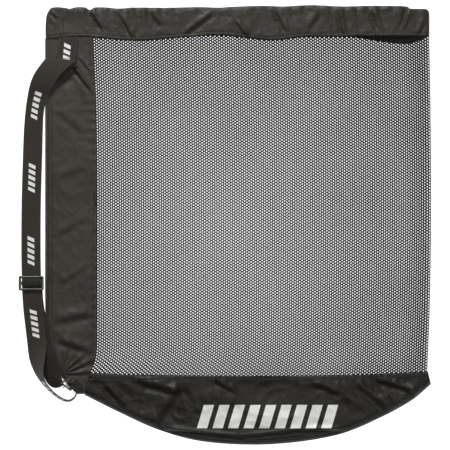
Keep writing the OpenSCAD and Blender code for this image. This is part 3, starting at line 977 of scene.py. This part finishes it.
# The strap's sewn end lies on its patch, then turns away under the run that crosses it.
SEWN_Z = TOP_Z + 2.3
sewn, _ = strip("strap_sewn_end_web", between(
    [(-257, 290, SEWN_Z), (-258.5, 275, SEWN_Z), (-260, 261, SEWN_Z), (-261, 252, SEWN_Z + 0.6),
     (-265, 243, SEWN_Z + 1.2), (-273, 233, SEWN_Z + 0.6), (-281, 222, SEWN_Z - 1)],
    [(-227, 290, SEWN_Z), (-228.5, 275, SEWN_Z), (-229.5, 261, SEWN_Z), (-230, 252, SEWN_Z - 0.6),
     (-236, 242, SEWN_Z - 1.8), (-248, 231, SEWN_Z - 2.4), (-262, 219, SEWN_Z - 3)]), 110, WEB, -7.0)
finish_piece(sewn, "bag", "webbing", "strap_sewn_end")

upper, upper_length = strip("strap_upper_web", between(
    [(-275.5, 248, SEWN_Z + 2.4), (-275.8, 252.5, SEWN_Z + 1.9), (-276, 256.6, SEWN_Z + 2.9),
     (-277.5, 256, SEWN_Z + 4.6), (-284, 248, SEWN_Z + 5.4), (-294.5, 232.5, SEWN_Z + 5.5),
     (-301, 217, SEWN_Z + 2), (-305.5, 199, 7.5), (-309, 176, 4.6), (-311.5, 146, 3.4),
     (-313, 108, FLAT_Z), (-315, 39, FLAT_Z),
     (-315.5, -39, FLAT_Z), (-314.5, SLIDE_Y - 6, FLAT_Z)],
    [(-229.5, 245, SEWN_Z + 2.6), (-228.5, 249.5, SEWN_Z + 2.3), (-228, 253.6, SEWN_Z + 3.2),
     (-229.5, 253, SEWN_Z + 4.8), (-238, 246.5, SEWN_Z + 6), (-253, 232.5, SEWN_Z + 7),
     (-264, 216.5, SEWN_Z + 4.6), (-273.5, 199.5, 10.5), (-280, 176, 6.5), (-282, 146, 4),
     (-283, 108, FLAT_Z), (-285, 39, FLAT_Z),
     (-285.5, -39, FLAT_Z), (-284.5, SLIDE_Y - 6, FLAT_Z)]), 330, WEB, 44.0)
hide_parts("strap_front_run")
lower, _ = ribbon("strap_lower_web", [
    (-299.5, SLIDE_Y - 6, FLAT_Z, WEB_W, 0), (-297.5, -128, FLAT_Z, WEB_W, 0),
    (-294.5, -155, FLAT_Z + 0.3, WEB_W, 1), (-291.5, -182, FLAT_Z + 1.2, WEB_W, 8),
    (-290.5, -204, FLAT_Z + 4.0, WEB_W, 28), (-288.5, -220, 8.6, WEB_W, 48),
    (-284, -235, 12.5, 29, 64), (-276, -248, 14.4, 28, 73), (-263.5, -260.5, 14.6, 27, 75),
    (-251, -269, 14.2, 25, 76), (-240, -271, 14.5, 21, 79), (-232, -265.5, 15.5, 15, 84),
    (-229, -257, 16.5, 11, 90), (-230, -247, GZ - 0.5, 9, 90), (GX + 8, GY + 6.2, GZ, 8, 90),
    (GX + 4, GY + 3.7, GZ, 8, 90), (GX, GY, GZ, 8, 90), (GX - 4.5, GY - 4.2, GZ, 8, 90)],
    330, WEB, 44.0 + upper_length)
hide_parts("strap_corner_loop")
# the return run takes the darker webbing: painted shade
back_run, _ = ribbon("strap_return_web", [
    (-299, SLIDE_Y + 6, LOWER_Z, WEB_W, 0), (-296, -122, LOWER_Z, WEB_W, 0),
    (-290.5, -152, LOWER_Z, WEB_W, 0), (-283.5, -180, LOWER_Z, WEB_W, 4),
    (-275.5, -203, 3.4, 31, 14), (-269, -221, 6.0, 32, 20), (-265, -235, 7.6, 31, 24),
    (-259.5, -241.5, 9.5, 29, 30), (-253.5, -244.5, 12.0, 22, 48), (-249, -246.5, 15.0, 14, 72),
    (GX - 2, GY - 1.8, GZ, 8, 90)], 190, WEB_PLAIN_SHADED)
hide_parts("strap_return_run", "strap_corner_return")


# ---------------------------------------------------------------- the slider


def rounded_block(centre, size, radius):
    """A block with rounded edges, as a loose mesh object in mm."""
    b = bmesh.new()
    bmesh.ops.create_cube(b, size=1)
    for v in b.verts:
        v.co = Vector(v.co[k] * size[k] for k in range(3))
    bmesh.ops.bevel(b, geom=b.edges[:], offset=radius, segments=4, profile=0.5, affect="EDGES")
    for v in b.verts:
        v.co = (v.co + Vector(centre)) * MM
    me = bpy.data.meshes.new("block")
    b.to_mesh(me)
    b.free()
    ob = bpy.data.objects.new("block", me)
    bpy.context.scene.collection.objects.link(ob)
    return ob


def make_slider():
    """Tri-glide: two outer bars and a thinner centre bar between two posts, moulded as one."""
    low, high = SLIDER_LOW, SLIDER_HIGH
    size, mid = high - low, SLIDER_MID
    bar, post, window = 3.4, (size[0] - 31) / 2, 32
    blocks = []
    for s in (-1, 1):
        blocks.append(rounded_block((mid[0], mid[1] + s * (size[1] - bar) / 2, mid[2] + 0.2),
                                    (size[0] - 1.2, bar, size[2] + 0.5), 1.3))
        blocks.append(rounded_block((mid[0] + s * (size[0] - post) / 2, mid[1], mid[2]),
                                    (post, size[1] - 2.4, size[2]), 1.3))
    blocks.append(rounded_block((mid[0], mid[1], mid[2] + 0.3), (window, 4.4, 1.5), 0.6))
    bpy.ops.object.select_all(action="DESELECT")
    for b in blocks:
        b.select_set(True)
    bpy.context.view_layer.objects.active = blocks[0]
    bpy.ops.object.join()
    ob = bpy.context.view_layer.objects.active
    ob.name = "slider_moulding"
    remesh = ob.modifiers.new("fuse", "REMESH")
    remesh.mode, remesh.voxel_size = "VOXEL", 0.34 * MM
    soften = ob.modifiers.new("soften", "SMOOTH")
    soften.iterations, soften.factor = 6, 0.5
    apply_modifiers(ob)
    ob.data.shade_smooth()
    ob.data.materials.clear()
    ob.data.materials.append(PLASTIC)
    return finish_piece(ob, "slider", "slider_plastic", "slider_frame")


make_slider()
top = SLIDER_HIGH[2] + 1.9
foot = SLIDER_LOW[2] + 0.6
half_arch = [(1.6, 9.2, foot), (1.5, 7.2, foot + 1.2), (1.4, 4.6, top - 0.7), (1.3, 1.5, top)]
arch_route = [(SLIDER_MID[0] + dx, SLIDE_Y + way * dy, z, WEB_W, 0)
              for way, half in ((1, half_arch), (-1, half_arch[::-1])) for dx, dy, z in half]
arch, _ = ribbon("strap_over_bar_web", arch_route, 70, WEB_PLAIN_SHADED)
finish_piece(arch, "slider", "webbing", "strap_over_bar")


# ---------------------------------------------------------------- grommet, corner and anchor patch
CORNER_TURN = math.degrees(math.atan2(-27, 25)) + 90       # the way through the grommet, into the bag
RING_LEAN = 12                           # degrees that the ring leans back, showing its face from above
PATCH_T = 1.6                            # thickness of cloth that the ring grips
CORNER_RAD = math.radians(CORNER_TURN)
INTO_BAG = np.array([math.cos(CORNER_RAD), math.sin(CORNER_RAD), 0])
ASIDE = np.array([-INTO_BAG[1], INTO_BAG[0], 0])


def lathe(name, profile, sides, material):
    """A ring turned from (radius, along the axis) points, set at the grommet."""
    a = np.linspace(0, 2 * math.pi, sides, endpoint=False)
    lean = math.radians(RING_LEAN)
    into = np.array([INTO_BAG[0] * math.cos(lean), INTO_BAG[1] * math.cos(lean), -math.sin(lean)])
    up = np.cross(into, ASIDE)
    ring = np.cos(a)[:, None] * ASIDE + np.sin(a)[:, None] * up
    points = np.array([GROMMET + into * h + ring[k] * r for r, h in profile for k in range(sides)])
    faces = grid_faces(len(profile), sides, wrap=True, closed=True)
    ob = new_mesh(name, points, faces, material)
    close_ends(ob)
    return ob


def ring_profile(inner, outer, low, high, crown):
    """A rounded flange: crowned outside, rolled into the hole."""
    pts = []
    for k in np.linspace(0, math.pi, 9):
        mid = (inner + outer) / 2
        pts.append((mid + (outer - inner) / 2 * math.cos(k), high + crown * math.sin(k)))
    return pts + [(inner, low), (outer, low)]


RING = (5.0, 8.5, PATCH_T / 2 - 1.0, PATCH_T / 2 + 0.4)    # inner and outer radius, low and high end
eyelet = lathe("grommet_eyelet_ring", [(r, -h) for r, h in ring_profile(*RING, 0.8)], 64, NICKEL)
finish_piece(eyelet, "bag", "nickel", "grommet_eyelet")
washer = lathe("grommet_washer_ring", ring_profile(*RING, 0.6), 64, NICKEL)
finish_piece(washer, "bag", "nickel", "grommet_washer")


def make_corner():
    """The corner's doubled nylon, gathered round the grommet: a crumpled collar with a hole."""
    up = np.array([0, 0, 1.0])
    rings, sides = 18, 96
    a = np.linspace(0, 2 * math.pi, sides, endpoint=False)
    points = []
    for i in range(rings):
        f = i / (rings - 1)
        for ang in a:
            down = max(0.0, -math.sin(ang))
            reach = 5.2 + f * (2.2 + 9.0 * down ** 1.5 + 3.5 * abs(math.cos(ang)) ** 3)
            out = ((0.5 * math.sin(5 * ang + 0.8) + 0.3 * math.sin(9 * ang)) * f
                   + 0.8 * f * f * math.sin(2 * ang))
            points.append(GROMMET + ASIDE * math.cos(ang) * reach + up * math.sin(ang) * reach
                          + INTO_BAG * out)
    points = np.array(points)
    points[:, 2] = np.maximum(points[:, 2], 1.2)
    ob = new_mesh("corner_patch_cloth", points, grid_faces(rings, sides, wrap=True), SIDE,
                  points[:, :2] + points[:, 2:])
    m = ob.modifiers.new("thickness", "SOLIDIFY")
    m.thickness, m.offset = 1.5 * MM, 0
    apply_modifiers(ob)
    return finish_piece(ob, "bag", "side_nylon", "corner_patch")


make_corner()


def corner_saddle():
    """The corner's cloth drawn up from the panel to the ring, on the bag's side of it."""
    rows, columns = 26, 60
    points = []
    for i in range(rows):
        f = i / (rows - 1)
        for j in range(columns):
            a = math.pi * j / (columns - 1)
            spread = 7.6 + 5.5 * f ** 1.3
            height = (GZ - 1.2 - (GZ - 1.2) * (1 - math.sin(a)) * (0.62 + 0.38 * f)
                      - 9.5 * f ** 0.8 * math.sin(a))
            crease = (0.55 * math.sin(6 * a + 2 * f) + 0.3 * math.sin(11 * a)) * math.sin(math.pi * f) ** 0.7
            p = GROMMET + INTO_BAG * (0.9 + 17 * f) + ASIDE * (math.cos(a) * spread)
            points.append((p[0], p[1], max(1.2, height + crease)))
    points = np.array(points)
    ob = new_mesh("corner_saddle_cloth", points, grid_faces(rows, columns), SIDE, points[:, :2])
    thicken(ob, 0.7)
    return finish_piece(ob, "bag", "side_nylon")


corner_saddle()


def patch_z(x, y):
    return side_z(x, y) * 0.35 + (TOP_Z + 0.9) * 0.65 + 0.5 + 0.12 * waves(x, y, 22, 71)


patch = panel("strap_anchor_patch_cloth", lambda y: np.full_like(y, -276.5),
              lambda y: np.full_like(y, -228.5), HEM_Y + 2, 257, 44, 34, patch_z, SIDE, 0.8)
finish_piece(patch, "bag", "side_nylon", "strap_anchor_patch")
box = np.array([(-275, 287), (-275, 259), (-262, 258.5)])
rows = [lift_path(resample(box, 60), patch_z, 0, 0.2)]
sewn_z = TOP_Z + 3.2
frame_rows = [(-256, 286), (-256.5, 268), (-257, 257.5), (-232.5, 257), (-231, 268), (-230, 286)]
rows.append(np.column_stack([resample(np.array(frame_rows, float), 90), np.full(90, sewn_z)]))
stitches("strap_anchor_stitches", rows, "bag", radius=0.45)

# ---------------------------------------------------------------- the one CAD node that shows
end_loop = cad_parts["strap_end_loop"].data
end_loop.materials.clear()
end_loop.materials.append(WEB_PLAIN_SHADED)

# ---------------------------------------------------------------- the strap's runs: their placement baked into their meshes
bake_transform(upper)
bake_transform(lower)
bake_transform(back_run)

# ---------------------------------------------------------------- floor and light
FLOOR_GLOW = 0.93           # the floor gives off light, so that it is as white as the photo's ground
FLOOR_HALF = 14             # metres
FLOOR_Z = -0.0004


def make_floor():
    b = bmesh.new()
    bmesh.ops.create_grid(b, x_segments=2, y_segments=2, size=FLOOR_HALF)
    me = bpy.data.meshes.new("floor")
    b.to_mesh(me)
    b.free()
    ob = bpy.data.objects.new("floor", me)
    ob.location.z = FLOOR_Z
    bpy.context.scene.collection.objects.link(ob)
    s = Shader("floor_paper", 0.9, Specular_IOR_Level=0.1, Emission_Strength=FLOOR_GLOW)
    s.out.inputs["Emission Color"].default_value = (1, 1, 1, 1)
    s.colour(s.mix(s.noise(s.position(), 3, 2.0), (0.5, 0.5, 0.5), (0.56, 0.56, 0.56)))
    me.materials.append(s.m)


def area_light(name, place, target, size, power):
    data = bpy.data.lights.new(name, "AREA")
    data.shape, data.size, data.energy = "DISK", size, power
    ob = bpy.data.objects.new(name, data)
    ob.location = place
    ob.rotation_euler = (Vector(target) - Vector(place)).to_track_quat("-Z", "Y").to_euler()
    bpy.context.scene.collection.objects.link(ob)


make_floor()
area_light("key", (-0.5, 2.1, 1.25), (0, 0, 0), 0.8, 52)
area_light("fill", (1.4, -1.2, 1.5), (0, 0, 0), 1.6, 4)
area_light("overhead", (0, 0.2, 3.8), (0, 0, 0), 1.6, 27)
world = bpy.data.worlds.new("studio")
world.use_nodes = True
world.node_tree.nodes["Background"].inputs["Color"].default_value = (1, 1, 1, 1)
world.node_tree.nodes["Background"].inputs["Strength"].default_value = 0.15
bpy.context.scene.world = world
